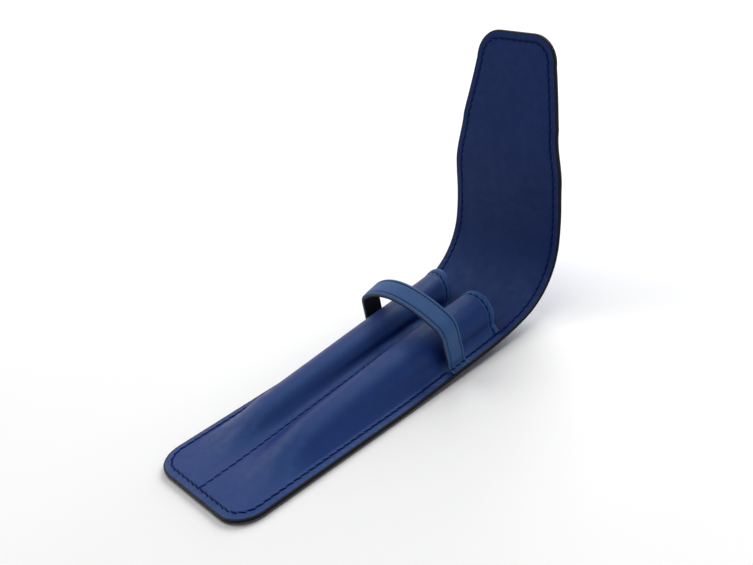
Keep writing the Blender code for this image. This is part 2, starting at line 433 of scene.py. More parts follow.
def grid_quads(grid):
    """Quads of a grid of point numbers."""
    return [quad for first, second in zip(grid[:-1], grid[1:]) for quad in strips(first, second)]


def tube_faces(grid):
    """Quads round a closed tube, from its rings of point numbers, and a face at each end."""
    round_tube = grid_quads(np.concatenate([grid, grid[:, :1]], axis=1))
    return round_tube + [grid[0].tolist(), grid[-1].tolist()]


# %% The section of a sheet's border
groove_half_width = 0.3 * mm
edge_round = 0.33 * mm
layer_notch = 0.07 * mm
notch_reach = 0.1 * mm
face_insets = np.array([3.6, 3.35, 3.15, 3.0, 2.85, 2.65, 2.4, 1.6, 0.95, 0.62]) * mm
paint_reach = 0.63 * mm


def groove(inset):
    """How deep the stitch groove is at an inset, as a share."""
    return np.exp(-(((inset - stitch_inset) / groove_half_width) ** 2))


def border_section(low, high, low_groove, high_groove):
    """A border's section as (inset, height, on the cut edge), from the top face to the bottom one."""
    top = [(inset, high - high_groove * groove(inset), 0) for inset in face_insets]
    bottom = [(inset, low + low_groove * groove(inset), 0) for inset in face_insets[::-1]]
    middle = np.linspace(high, low, 6)[1:-1]
    heights = np.concatenate([[high, high - notch_reach], middle, [low + notch_reach, low]])
    edge = [(layer_notch if height in (high, low) else 0, height, 1) for height in heights]
    return top + edge + bottom


def sanded(height, stack):
    """How far the sanded edge of a stack of layers is drawn in at a height."""
    return edge_round * np.abs(2 * height / stack - 1) ** 3


# %% Build one sheet of leather
end_strip = 1.2 * stitch_inset
seam_reach = 1.5 * mm


def edge_distance(x, s):
    """How far inside the outline flat places lie, measured across and along the leather."""
    return np.minimum(half_outline(s) - np.abs(x), np.minimum(s, total_length - s))


def stitch_run(x, s):
    """The nearest place on the stitch line, counted in stitches from the middle of the bottom."""
    run = np.interp(s, line_s[1:-1], line_run[1:-1])
    run = np.where(s < end_strip, np.minimum(np.abs(x), line_run[1]), run)
    at_tip = line_run[-1] - np.minimum(np.abs(x), line_x[-2])
    return np.where(s > total_length - end_strip, at_tip, run) / stitch_step


def leather_sheet(name, rows, section, lay_middle, lay_border, columns, stack, finishes,
                  round_end=True, seam=False):
    """A closed sheet. Its rows run from an open end to its round end, or from cut to cut.

    lay_middle and lay_border put flat places in space, and stack gives how thick all layers are
    together. The finishes are for the top side, the painted edge and the underside. A seam's
    stitches draw the leather in as those of the outline do, so it gets the same values."""
    edge_x, edge_s, in_x, in_s = side_points(rows)
    share = np.broadcast_to(np.linspace(-1, 1, columns + 1), (len(rows), columns + 1))
    flat_x = share * (edge_x + in_x * side_margin)[:, None]
    flat_s = np.broadcast_to((edge_s + in_s * side_margin)[:, None], share.shape)
    grid = np.arange(flat_x.size).reshape(flat_x.shape)
    heights = (section[0][1], section[-1][1])
    points = [lay_middle(share, flat_x, flat_s, height).reshape(-1, 3) for height in heights]
    flat = [flat_points(flat_x, flat_s, height) for height in heights]
    insets = [edge_distance(flat_x, flat_s).ravel()] * 2
    top, under = grid_quads(grid), grid_quads(grid + grid.size)
    faces, finish = top + under, [0] * len(top) + [2] * len(under)

    last = len(rows) - 1
    left = [(i, -1.0) for i in range(last + 1)]
    right = [(i, 1.0) for i in range(last + 1)]
    if round_end:
        end = [(last, u) for u in share[-1, 1:-1]]
        inner = np.concatenate([grid[:, 0], grid[-1, 1:-1], grid[::-1, -1]])
        paths = [(left + end + right[::-1], inner)]
    else:
        paths = [(left, grid[:, 0]), (right, grid[:, -1])]

    count = 2 * grid.size
    for path, inner in paths:
        index, across = np.array(path).T
        index = index.astype(int)
        rings = [inner]
        for inset, height, cut in section[1:-1]:
            sanding = cut * sanded(height, stack(across, edge_s[index]))
            drawn_in = np.full(len(path), inset) + sanding
            x = across * (edge_x[index] + in_x[index] * drawn_in)
            s = edge_s[index] + in_s[index] * drawn_in
            points.append(lay_border(x, s, height))
            flat.append(flat_points(x, s, height))
            insets.append(drawn_in)
            rings.append(count + np.arange(len(path)))
            count += len(path)
        rings.append(inner + grid.size)
        for k, (first, second) in enumerate(zip(rings[:-1], rings[1:])):
            made = strips(first, second)
            painted = section[k][0] < paint_reach and section[k + 1][0] < paint_reach
            faces += made
            finish += [1 if painted else 2 if k > len(section) / 2 else 0] * len(made)
        ends = [[int(ring[end]) for ring in rings] for end in (0, -1)]
        faces += ends
        finish += [0] * len(ends)
    for row in grid[:1] if round_end else grid[[0, -1]]:
        made = strips(row, row + grid.size)
        faces += made
        finish += [0] * len(made)
    flat, insets = np.concatenate(flat), np.concatenate(insets)
    run = stitch_run(flat[:, 0], flat[:, 1])
    if seam:
        from_seam = np.abs(flat[:, 0])
        beside = (from_seam < seam_reach) & (flat[:, 1] > stitch_inset)
        insets[beside] = stitch_inset + from_seam[beside]
        run[beside] = (flat[beside, 1] - stitch_inset) / stitch_pitch
    return mesh_piece(name, np.concatenate(points), faces, finish, finishes,
                      leather_place=flat, edge_inset=insets, stitch_run=run)


# %% [markdown]
# Leather needs several things at once: a fine pebbled grain, a colour that drifts a little from
# place to place, stitches that pull it in, with painted shade in their grooves and holes, and
# edges that have been handled, where on the strap the lighter strip is partly a painted highlight.
# Four node groups make those, so each leather can have its own values. They read the flat leather
# coordinates that the meshes carry: a grain laid out flat doesn't stretch on the bend, and it
# stays in its place when the flap moves.

# %% Node helpers
def new_group(name, inputs, outputs):
    """A node group with these named sockets, and its two end nodes."""
    group = bpy.data.node_groups.new(name, "ShaderNodeTree")
    for socket, kind in inputs.items():
        group.interface.new_socket(name=socket, in_out="INPUT", socket_type=kind)
    for socket, kind in outputs.items():
        group.interface.new_socket(name=socket, in_out="OUTPUT", socket_type=kind)
    return group, group.nodes.new("NodeGroupInput").outputs, group.nodes.new("NodeGroupOutput").inputs


def add(tree, kind, inputs=(), **settings):
    """A node with its settings, its inputs set to values or linked from sockets."""
    made = tree.nodes.new(kind)
    for key, value in settings.items():
        setattr(made, key, value)
    for key, value in dict(inputs).items():
        if isinstance(value, bpy.types.NodeSocket):
            tree.links.new(value, made.inputs[key])
        else:
            made.inputs[key].default_value = value
    return made


def maths(tree, operation, *values):
    """The result of a Math node."""
    return add(tree, "ShaderNodeMath", dict(enumerate(values)), operation=operation).outputs[0]


def weighted(tree, start, *terms):
    """A start value, plus each of these values times its share."""
    for value, share in terms:
        start = maths(tree, "MULTIPLY_ADD", value, share, start)
    return start


def mixed(tree, share, first, second):
    """A colour between two others, each of them a socket or a plain colour."""
    inputs = {0: share, 6: first, 7: second}
    return add(tree, "ShaderNodeMix", inputs, data_type="RGBA").outputs[2]


def between(tree, value, low, high, to_low=0.0, to_high=1.0):
    """A value taken from one range to another with soft ends."""
    inputs = {"Value": value, "From Min": low, "From Max": high, "To Min": to_low, "To Max": to_high}
    return add(tree, "ShaderNodeMapRange", inputs, interpolation_type="SMOOTHSTEP").outputs["Result"]


def scaled(tree, vector, size):
    """A vector measured in cells of this size."""
    per_size = maths(tree, "DIVIDE", 1.0, size)
    return add(tree, "ShaderNodeVectorMath", {0: vector, "Scale": per_size}, operation="SCALE").outputs[0]


def noise(tree, vector, scale, detail=2.0, roughness=0.5):
    """A soft noise, around one half."""
    settings = {"Vector": vector, "Scale": scale, "Detail": detail, "Roughness": roughness}
    return add(tree, "ShaderNodeTexNoise", settings).outputs[0]


FLOAT, VECTOR, COLOUR = "NodeSocketFloat", "NodeSocketVector", "NodeSocketColor"

# %% Grain: small flat pebbles with fine valleys between them
tree, given, result = new_group(
    "leather_grain", {"Place": VECTOR, "Pebble": FLOAT}, {"Height": FLOAT, "Valley": FLOAT})
grain_group = tree
cells = scaled(tree, given["Place"], given["Pebble"])
drift = add(tree, "ShaderNodeTexNoise", {"Vector": cells, "Scale": 0.9, "Detail": 2.0}).outputs["Color"]
shifted = {0: drift, 1: (0.8, 0.8, 0.8), 2: cells}
bent = add(tree, "ShaderNodeVectorMath", shifted, operation="MULTIPLY_ADD").outputs[0]
edges = add(tree, "ShaderNodeTexVoronoi", {"Vector": bent, "Scale": 1.0}, feature="DISTANCE_TO_EDGE")
pebble = between(tree, edges.outputs["Distance"], 0.0, 0.3)
fine = noise(tree, cells, 3.5, 3.0, 0.6)
rolling = noise(tree, cells, 0.22, 2.0)
tree.links.new(weighted(tree, 0.0, (pebble, 0.6), (fine, 0.35), (rolling, 1.1)), result["Height"])
tree.links.new(maths(tree, "SUBTRACT", 1.0, pebble), result["Valley"])

# %% Tone: dye that has taken a little more here and a little less there
tree, given, result = new_group(
    "dye_tone", {"Place": VECTOR, "Valley": FLOAT, "Deep": COLOUR, "Light": COLOUR}, {"Colour": COLOUR})
tone_group = tree
clouds = noise(tree, given["Place"], 70.0, 3.0)
mottle = noise(tree, given["Place"], 900.0, 2.0)
share = weighted(tree, -0.4, (clouds, 1.3), (mottle, 0.5), (given["Valley"], -0.35))
tree.links.new(mixed(tree, share, given["Deep"], given["Light"]), result["Colour"])

# %% Pull and shade: each stitch draws the leather in at its two holes and crimps the strip beside it; painted shade darkens the groove and each hole
tree, given, result = new_group(
    "stitch_pull_and_shade", {"Run": FLOAT, "Inset": FLOAT, "Line": FLOAT}, {"Height": FLOAT, "Shade": FLOAT})
pull_and_shade_group = tree
turn = maths(tree, "COSINE", maths(tree, "MULTIPLY", given["Run"], 2 * math.pi))
at_hole = maths(tree, "MULTIPLY_ADD", turn, 0.5, 0.5)
off_line = maths(tree, "ABSOLUTE", maths(tree, "SUBTRACT", given["Inset"], given["Line"]))
near_line = between(tree, off_line, 0.9 * mm, 0.25 * mm)
on_strip = maths(tree, "MULTIPLY", between(tree, given["Inset"], 0.3 * mm, 1.4 * mm),
                 between(tree, given["Inset"], 3.4 * mm, 2.2 * mm))
dip = maths(tree, "MULTIPLY", maths(tree, "MULTIPLY", at_hole, at_hole), near_line)
crimp = maths(tree, "MULTIPLY", at_hole, on_strip)
tree.links.new(weighted(tree, 0.0, (dip, -1.0), (crimp, -0.35)), result["Height"])
# Painted shade: the colour is darkened along the groove or crease, and round each hole.
groove_shade = maths(tree, "MULTIPLY", between(tree, off_line, 0.5 * mm, 0.15 * mm), 0.5)
hole_shade = maths(tree, "MULTIPLY", between(tree, off_line, 0.65 * mm, 0.3 * mm),
                   maths(tree, "POWER", at_hole, 5.0))
tree.links.new(maths(tree, "MAXIMUM", groove_shade, hole_shade), result["Shade"])

# %% Wear and sheen: a strip along an edge or a line, lighter in patches: scuffing, and on the strap's cut edges and the edge paint partly a painted highlight
tree, given, result = new_group(
    "edge_wear_and_sheen", {"Place": VECTOR, "Inset": FLOAT, "Reach": FLOAT}, {"Mask": FLOAT})
wear_and_sheen_group = tree
share = maths(tree, "SUBTRACT", 1.0, maths(tree, "DIVIDE", given["Inset"], given["Reach"]))
patches = noise(tree, given["Place"], 260.0, 4.0, 0.65)
rubbed_and_sheen = maths(tree, "MULTIPLY", maths(tree, "MAXIMUM", share, 0.0), patches)
tree.links.new(between(tree, rubbed_and_sheen, 0.02, 0.5), result["Mask"])
print("node groups:", ", ".join(group.name for group in bpy.data.node_groups))


# %% One leather finish from those groups
pull_depth = 0.12 * mm
leather_tint = (0.33, 0.66, 1.0, 1)


def from_mesh(tree, name, socket="Vector"):
    """A value that the mesh carries at its points."""
    return add(tree, "ShaderNodeAttribute", attribute_name=name).outputs[socket]


def use(tree, group, inputs):
    """The results of a node group in a material, with its own values."""
    return add(tree, "ShaderNodeGroup", inputs, node_tree=group).outputs


def new_finish(name):
    """An empty material, its node tree and its main shader."""
    finish = bpy.data.materials.new(name)
    finish.use_nodes = True
    return finish, finish.node_tree, finish.node_tree.nodes["Principled BSDF"]


def wire(tree, shader, colour, roughness, gloss, *bumps):
    """Join a shader to its colour, its roughness and its bumps, each (height, strength, depth)."""
    tree.links.new(colour, shader.inputs["Base Color"])
    tree.links.new(roughness, shader.inputs["Roughness"])
    shader.inputs["Specular IOR Level"].default_value = gloss
    under = {}
    for height, strength, depth in bumps:
        inputs = {"Strength": strength, "Distance": depth, "Height": height, **under}
        under = {"Normal": add(tree, "ShaderNodeBump", inputs).outputs["Normal"]}
    tree.links.new(under["Normal"], shader.inputs["Normal"])


def leather_finish(name, deep, light, worn_and_sheen, rough, pebble, grain_depth, gloss, reach=1.6 * mm,
                   line=stitch_inset):
    """Dyed leather. rough is its lowest and highest roughness, line how far in it is creased, where
    painted shade darkens its colour.
    """
    finish, tree, shader = new_finish(name)
    flat = from_mesh(tree, "leather_place")
    inset = from_mesh(tree, "edge_inset", "Fac")
    run = from_mesh(tree, "stitch_run", "Fac")
    grain = use(tree, grain_group, {"Place": flat, "Pebble": pebble})
    dyes = {"Place": flat, "Valley": grain["Valley"], "Deep": (*deep, 1), "Light": (*light, 1)}
    dyed = use(tree, tone_group, dyes)["Colour"]
    wear_and_sheen = use(tree, wear_and_sheen_group, {"Place": flat, "Inset": inset, "Reach": reach})
    pull_and_shade = use(tree, pull_and_shade_group, {"Run": run, "Inset": inset, "Line": line})
    # Lighter towards the edges: scuffing, and on the strap's cut edges partly a painted highlight.
    rubbed_and_sheen = mixed(tree, wear_and_sheen["Mask"], dyed, (*worn_and_sheen, 1))
    # Painted shade: darker in the stitch groove or crease and at each stitch hole.
    shaded = mixed(tree, pull_and_shade["Shade"], rubbed_and_sheen, (*(0.25 * c for c in deep), 1))
    uneven = between(tree, noise(tree, flat, 320.0, 3.0), 0.3, 0.7, *rough)
    roughness = maths(tree, "MULTIPLY_ADD", grain["Valley"], 0.12, uneven)
    wire(tree, shader, shaded, roughness, gloss,
         (pull_and_shade["Height"], 1.0, pull_depth), (grain["Height"], 0.7, grain_depth))
    shader.inputs["Specular Tint"].default_value = leather_tint
    return finish


outer_leather = leather_finish(
    "outer_leather", (0.003, 0.012, 0.104), (0.008, 0.022, 0.146), (0.010, 0.027, 0.157),
    (0.35, 0.45), 0.42 * mm, 0.018 * mm, 0.46)
lining_leather = leather_finish(
    "lining_leather", (0.006, 0.015, 0.090), (0.012, 0.026, 0.130), (0.014, 0.029, 0.140),
    (0.50, 0.60), 0.36 * mm, 0.014 * mm, 0.28)
# The strap's lighter edge colour is partly a painted highlight along its cut edges, and painted shade
# darkens its colour along each crease.
strap_leather = leather_finish(
    "strap_leather", (0.038, 0.088, 0.225), (0.058, 0.122, 0.296), (0.084, 0.152, 0.325),
    (0.46, 0.54), 0.40 * mm, 0.016 * mm, 0.22, 0.4 * mm, 1.1 * mm)
# Painted shade darkens the hem's colour along its stitch line, 2.2 mm behind the rim.
hem_leather = leather_finish(
    "hem_leather", (0.022, 0.058, 0.192), (0.035, 0.090, 0.260), (0.052, 0.108, 0.285),
    (0.46, 0.54), 0.40 * mm, 0.016 * mm, 0.3, 1.0 * mm, 2.2 * mm)
print("leathers made:", outer_leather.name, lining_leather.name, strap_leather.name, hem_leather.name)

# %% [markdown]
# The inside of the strap is lined with thin black leather, matt and a little fibrous. Every cut
# edge is sanded and painted black: a skin of paint with a low sheen, slightly uneven along its
# length, and a thin grey line along the cover's cut that is a painted highlight, patchy as from use.
# The thread is waxed polyester, two plies twisted together, with painted shade where they meet.

# %% Black lining, edge paint and thread
# Where the thin grey line on the edge paint lies, a painted highlight, and how wide it is.
sheen_and_wear_line_height = 0.5 * mm
sheen_and_wear_line_half_width = 0.34 * mm
ply_length = 0.55 * mm


def black_lining_finish():
    """Matt black leather with short fibres."""
    finish, tree, shader = new_finish("black_lining")
    flat = from_mesh(tree, "leather_place")
    grain = use(tree, grain_group, {"Place": flat, "Pebble": 0.3 * mm})
    blacks = {"Deep": (0.004, 0.004, 0.005, 1), "Light": (0.014, 0.014, 0.017, 1)}
    tone = use(tree, tone_group, {"Place": flat, "Valley": grain["Valley"], **blacks})
    roughness = between(tree, grain["Valley"], 0.0, 1.0, 0.62, 0.85)
    wire(tree, shader, tone["Colour"], roughness, 0.3, (grain["Height"], 0.6, 0.02 * mm))
    return finish


def edge_paint_finish():
    """Black edge paint with a soft sheen, and a thin grey line along the cover's cut: a painted
    highlight, patchy as from use.
    """
    finish, tree, shader = new_finish("edge_paint")
    flat = from_mesh(tree, "leather_place")
    height = add(tree, "ShaderNodeSeparateXYZ", {0: flat}).outputs["Z"]
    off_line = maths(tree, "ABSOLUTE", maths(tree, "SUBTRACT", height, sheen_and_wear_line_height))
    wear_and_sheen = use(tree, wear_and_sheen_group, {"Place": flat, "Inset": off_line, "Reach": sheen_and_wear_line_half_width})
    # Painted highlight: a thin grey line along the cover's cut, patchy as from use.
    colour = mixed(tree, wear_and_sheen["Mask"], (0.003, 0.003, 0.004, 1), (0.050, 0.056, 0.064, 1))
    brushed = noise(tree, flat, 700.0, 3.0)
    roughness = between(tree, brushed, 0.3, 0.7, 0.3, 0.5)
    wire(tree, shader, colour, roughness, 0.12, (brushed, 0.5, 0.04 * mm))
    return finish


def thread_finish():
    """Dark waxed thread, two plies twisted together, with painted shade where the plies meet."""
    finish, tree, shader = new_finish("thread")
    place = add(tree, "ShaderNodeSeparateXYZ", {0: from_mesh(tree, "thread_place")}).outputs
    phase = weighted(tree, 0.0, (place["Y"], 2.0), (place["X"], 1 / ply_length))
    wave = maths(tree, "COSINE", maths(tree, "MULTIPLY", phase, 2 * math.pi))
    ply = maths(tree, "MULTIPLY_ADD", wave, 0.5, 0.5)
    # Painted shade: darker where the two plies meet, lighter along each ply's middle.
    colour = mixed(tree, ply, (0.0015, 0.009, 0.075, 1), (0.003, 0.018, 0.130, 1))
    wire(tree, shader, colour, between(tree, ply, 0.0, 1.0, 0.6, 0.42), 0.03, (ply, 0.8, 0.08 * mm))
    return finish


black_lining = black_lining_finish()
edge_paint = edge_paint_finish()
thread = thread_finish()
print("other finishes:", black_lining.name, edge_paint.name, thread.name)

# %% [markdown]
# The cover and the lining are one piece of leather each on the real case. The frame bends them
# on six hinges, and a mesh can blend across one hinge at a time, so each is made in six lengths
# that meet between the hinges.

# %% Cover and lining, in six lengths
hinge_places = panel_length + leaf_length * np.arange(leaf_count + 1)
cuts = hinge_places[:-1] + leaf_length / 2
turn_half_length = 4.1 * mm
end_row = 0.12 * mm
back_columns = 40
cover_skive = 0.8
cover_skive_end = 190 * mm
cover_skive_fade = 35 * mm
margin_step = 1.5 * mm


def bend_with_flap(piece, i):
    """Bakes the piece's place into its mesh. The two points it finds at hinge i are not used."""
    start, end = place(0, hinge_places[i] + np.array([-1, 1]) * turn_half_length, lining_top / 2)
    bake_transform(piece)


def length_rows(i):
    """Rows of length i, closer together at its cut ends so that the shading runs on."""
    if i == 0:
        straight = spaced(cuts[0] - end_row, bottom_radius, 1.5 * mm)
        return np.concatenate([[cuts[0]], straight, bottom_rows[::-1]])
    start = [cuts[i - 1], cuts[i - 1] + end_row]
    if i == leaf_count:
        straight = spaced(start[1], total_length - tip_radius, 1.0 * mm)
        return np.concatenate([start[:1], straight, tip_rows[::-1]])
    return np.concatenate([start[:1], spaced(start[1], cuts[i] - end_row, 0.6 * mm), [cuts[i]]])


def stack_height(across, s):
    """How thick all layers are together: with the pocket's margins below the mouth, less above it."""
    margin_end = mouth_place - np.sign(across) * mouth_skew
    return lining_top + (margin_height - lining_top) * smooth((margin_end - s) / margin_step)


def back_middle(share, x, s, height):
    """The middle of a sheet that lies along the back, the bend or the flap."""
    return on_back(x, s, height)


def cover_border(x, s, height):
    """The cover's border, skived from its outer side towards the cut edge, less so on the flap."""
    thin = cover_skive * np.clip(1 - edge_distance(x, s) / stitch_inset, 0, 1)
    thin = thin * smooth((cover_skive_end - s) / cover_skive_fade)
    return on_back(x, s, height + (cover_top - height) * thin)


length_names = ["back"] + [f"bend_{i}" for i in range(1, leaf_count)] + ["flap"]
layers = [
    ("cover", border_section(0, cover_top, 0.1 * mm, 0), cover_border,
     (outer_leather, edge_paint, outer_leather), "blue_leather"),
    ("lining", border_section(lining_low, lining_top, 0, 0.1 * mm), on_back,
     (lining_leather, edge_paint, lining_leather), "blue_lining_leather"),
]
for layer, section, lay_border, finishes, slot in layers:
    for i, length_name in enumerate(length_names):
        piece = leather_sheet(f"{length_name}_{layer}_leather", length_rows(i), section, back_middle,
                              lay_border, back_columns, stack_height, finishes, i in (0, leaf_count))
        bend_with_flap(piece, i)
        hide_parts(f"{length_name}_{layer}")
        if i == leaf_count:
            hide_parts(f"bend_{leaf_count}_{layer}")
    print(f"{layer}: {len(length_names)} lengths")

# %% [markdown]
# The front is wet-moulded over two formers and sewn down. It is one sheet, with a flat border
# along the outline like the layers under it, so its margins lie flush with the cover's edge. Its
# middle follows the moulded surface, with columns packed closer where the tubes turn.

# %% The moulded front
pocket_columns = 120
pocket_low = -0.07 * mm
skive_start = 3.2 * mm
skive_end_share = 0.3
mouth_skive_run = 2.5 * mm


def pocket_middle(share, x, s, height):
    """The moulded middle of the front."""
    return on_front(share * (channel_columns + 1), s, height - pocket_height)


def pocket_border(x, s, height):
    """The front's flat margin. It thins out to the mouth, where it is cut a little aslant."""
    thin = at_least(skive_end_share, smooth((mouth_place - s) / mouth_skive_run))
    low = pocket_height + pocket_low
    return place(x, s - np.sign(x) * mouth_skew * mouth_wave(s), low + (height - low) * thin)


def skive_share(inset):
    """How much of its thickness the margin keeps at an inset: it thins out towards the cut edge."""
    return at_least(skive_end_share, np.clip(inset / skive_start, 0, 1))


def skived(section):
    """A border's section with its heights thinned."""
    low = section[-1][1]
    return [(inset, low + (height - low) * skive_share(inset), cut) for inset, height, cut in section]


pocket_rows = np.concatenate([spaced(mouth_place, bottom_radius, 1.0 * mm), bottom_rows[::-1]])
pocket_section = skived(border_section(pocket_height + pocket_low, margin_height, 0, 0.1 * mm))
pocket = leather_sheet("pocket_leather", pocket_rows, pocket_section, pocket_middle, pocket_border,
                       pocket_columns, lambda across, s: margin_height,
                       (outer_leather, edge_paint, lining_leather), seam=True)
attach(pocket, "case")
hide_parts("pocket_front")
print("front:", len(pocket.data.polygons), "faces")

# %% [markdown]
# A narrow strip is folded over the mouth of each channel and sewn, to keep the edge from
# stretching. It is a closed loop, swept along the mouth: it starts behind the stitches, swells,
# rolls round the rim and ends on the inner side. At its ends it thins out and sinks into the
# front, as a skived strip does.

# %% Mouth hems
hem_loop = np.array([
    (-3.2, 0.66), (-3.1, 0.76), (-2.85, 0.84), (-2.55, 0.86), (-2.35, 0.82), (-2.2, 0.74),
    (-2.05, 0.84), (-1.8, 0.96), (-1.4, 1.08), (-1.0, 1.12), (-0.6, 1.12), (-0.25, 1.04),
    (0.05, 0.88), (0.25, 0.66), (0.34, 0.4), (0.3, 0.12), (0.14, -0.12), (-0.15, -0.28),
    (-0.6, -0.34), (-1.6, -0.32), (-2.6, -0.28), (-2.8, -0.15), (-2.8, 0.3),
]) * mm
hem_rows = 110
hem_middle_point = 8
hem_end_share = 0.35
hem_start_column = 1.3
hem_end_column = 15.8
hem_taper_columns = 1.4


def hem_fullness(column):
    """How full the hem is along the mouth: nothing at its two ends."""
    rising = (np.abs(column) - hem_start_column) / hem_taper_columns
    falling = (hem_end_column - np.abs(column)) / hem_taper_columns
    return smooth(rising) * smooth(falling)


def hem_lift(lift, full):
    """A height of the loop over the front, drawn towards the front's middle where the hem thins."""
    middle = pocket_thickness / 2
    return middle + (lift - middle) * at_least(hem_end_share, full)


def hem_piece(name, side):
    """The folded strip along one channel's mouth, and how long it is."""
    column = side * np.linspace(hem_start_column, hem_end_column, hem_rows)[:, None]
    full = hem_fullness(column)
    along_case, lift = hem_loop.T
    s = mouth_place + np.where(along_case > 0, along_case * full, along_case)
    height = hem_lift(lift, full)
    points = on_front(np.broadcast_to(column, height.shape), s, height)
    faces = tube_faces(np.arange(height.size).reshape(height.shape))
    run = run_along(points[:, hem_middle_point])
    flat = flat_points(run[:, None], s, height)
    inset = np.broadcast_to(np.abs(along_case), height.shape).ravel()
    piece = mesh_piece(name, points, faces, [0] * len(faces), [hem_leather],
                       leather_place=flat, edge_inset=inset, stitch_run=flat[:, 0] / stitch_pitch)
    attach(piece, "case")
    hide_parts(name.replace("_leather", ""))
    return run[-1]


for side, name in ((-1, "mouth_hem_left_leather"), (1, "mouth_hem_right_leather")):
    print(f"{name}: {hem_piece(name, side) / mm:.1f} mm long")

# %% [markdown]
# The strap is a narrow band, lined with black and arched over both channels. It isn't quite
# square to the case: its left foot is sewn a little nearer the mouth. Each half runs down from
# the crown through a shoulder, a straight leg and a small foot, and both feet are thinned before
# they are sewn under the outline stitches. Two creases are pressed in along its long edges.

# %% The strap's path
strap_width = 7.6 * mm
strap_place = mouth_place - 27.3 * mm
strap_skew = math.tan(math.radians(3))
strap_foot_radius = 2.2 * mm
strap_shoulder_radius = 3.8 * mm
strap_crown_height = 23.3 * mm
strap_rise = 1.6 * mm
strap_base = margin_height + 0.05 * mm
strap_foot_share = 0.3
strap_foot_end = 1.5 * mm
strap_thin_run = 6 * mm
foot_height = 1.5 * mm
foot_height_run = 2.5 * mm
quarter_turn = math.radians(90)


def strap_half(slope, lean, toe):
    """The strap's inner side, from its middle down to one foot: crown, shoulder, leg, foot, toe."""
    shoulder_run = strap_shoulder_radius * (math.cos(lean) - math.sin(slope))
    shoulder_drop = strap_shoulder_radius * (math.cos(slope) - math.sin(lean))
    foot_run = strap_foot_radius * math.cos(lean)
    foot_drop = strap_foot_radius * (1 - math.sin(lean))
    run = half_width - shoulder_run - foot_run - toe
    drop = strap_crown_height - strap_base - shoulder_drop - foot_drop
    crown_fall = math.tan(slope / 2)
    crown_run = (run - drop * math.tan(lean)) / (1 - crown_fall * math.tan(lean))
    leg = (drop - crown_run * crown_fall) / math.cos(lean)
    return [
        (crown_run / math.sin(slope) * slope, -slope),
        (strap_shoulder_radius * (quarter_turn - slope - lean), slope + lean - quarter_turn),
        (leg, 0.0),
        (strap_foot_radius * (quarter_turn - lean), quarter_turn - lean),
        (toe, 0.0),
    ]


strap_right = strap_half(math.radians(24), 0.0, 1.1 * mm)
strap_left = strap_half(math.radians(36), math.radians(6), 1.9 * mm)
right_length = sum(length for length, turn in strap_right)
left_length = sum(length for length, turn in strap_left)


def strap_point(share, s, inset):
    """A point of the strap: share -1 to 1 across it, s from its middle, inset from its inner side."""
    right = s > 0
    down = np.where(right, right_length, left_length) - np.abs(s)
    inset = inset * at_least(strap_foot_share, smooth((down - strap_foot_end) / strap_thin_run))
    halves = zip(along(strap_right, np.abs(s)), along(strap_left, np.abs(s)))
    across, up, angle = (np.where(right, *pair) for pair in halves)
    x = np.where(right, 1.0, -1.0) * (across - inset * np.sin(angle))
    height = strap_crown_height + up + inset * np.cos(angle)
    at_foot = 1 - smooth((height - strap_base - foot_height) / foot_height_run)
    skive = (margin_height - pocket_height) * (1 - skive_share(half_width - np.abs(x)))
    height = height - at_foot * skive
    rise = strap_rise / 2 * share * smooth(height / strap_crown_height)
    s = strap_place - strap_skew * x + strap_width * (1 - share) / 2
    return place(x, s, height - rise)


# %% Sweep the strap's two layers along it
strap_row_step = 0.45 * mm
cut_side = 0.03 * mm
# Half of each layer's section, down from its middle: distance from the edge, and height.
band_section = np.array([
    (2.8, 1.76), (1.9, 1.75), (1.5, 1.73), (1.3, 1.66), (1.18, 1.52), (1.1, 1.44), (1.02, 1.52),
    (0.9, 1.66), (0.7, 1.74), (0.4, 1.73), (0.18, 1.65), (0.04, 1.48), (0.0, 1.25), (0.0, 0.95),
    (0.05, 0.76), (0.2, 0.7), (2.0, 0.7),
]) * mm
lining_section = np.array([
    (1.0, 0.68), (0.25, 0.67), (0.1, 0.62), (0.05, 0.5), (0.05, 0.2), (0.12, 0.06), (0.3, 0.0),
    (2.0, 0.0),
]) * mm


def strap_layer(name, half_section, finish):
    """One layer of the strap, swept along it."""
    left, right = spaced(-left_length, 0, strap_row_step), spaced(0, right_length, strap_row_step)
    rows = np.concatenate([left, right[1:]])[:, None]
    from_edge, height = np.concatenate([half_section, half_section[::-1]]).T
    share = 1 - from_edge * 2 / strap_width
    share[len(half_section):] *= -1
    points = strap_point(share, rows, height)
    grid = np.arange(len(rows) * len(share)).reshape(len(rows), -1)
    flat = flat_points(share * strap_width / 2, rows, height)
    inset = np.broadcast_to(from_edge, grid.shape).ravel()
    painted = ((from_edge < cut_side) & (np.roll(from_edge, -1) < cut_side)).astype(int).tolist()
    piece = mesh_piece(name, points, tube_faces(grid), painted * (len(rows) - 1) + [1, 1],
                       (finish, edge_paint), leather_place=flat, edge_inset=np.minimum(inset, 2 * mm),
                       stitch_run=np.full(len(inset), 0.5))
    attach(piece, "case")
    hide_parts(name.replace("_leather", ""))


strap_layer("strap_band_leather", band_section, strap_leather)
strap_layer("strap_lining_leather", lining_section, black_lining)
print(f"strap: {(left_length + right_length) / mm:.1f} mm long")

# %% [markdown]
# Thread is what gives sewn leather its scale, so every stitch is real geometry: a short flattened
# strand that comes up out of one hole, lies on the leather and goes down into the next, turned
# a little across the line as saddle stitches lie. All are made at once as arrays: a few stations
# along each stitch, and a small ring of points round each station.

# %% Make stitches from the places of their stations
stitch_length_share = 0.98
station_shares = np.array([-1, -0.88, -0.6, -0.2, 0.2, 0.6, 0.88, 1]) / 2
ring_sides = 8
thread_half_width = 0.27 * mm
thread_half_height = 0.18 * mm
stitch_lift = 0.05 * mm
stitch_dive = 0.22 * mm
stitch_slant = 0.18
stitch_taper = 0.35
ply_shift = 0.37 * mm


def stitch_stations(count, step, length_share=stitch_length_share):
    """Where the stations of evenly spaced stitches lie along their line, a row for each stitch."""
    return ((np.arange(count) + 0.5)[:, None] + station_shares * length_share) * step


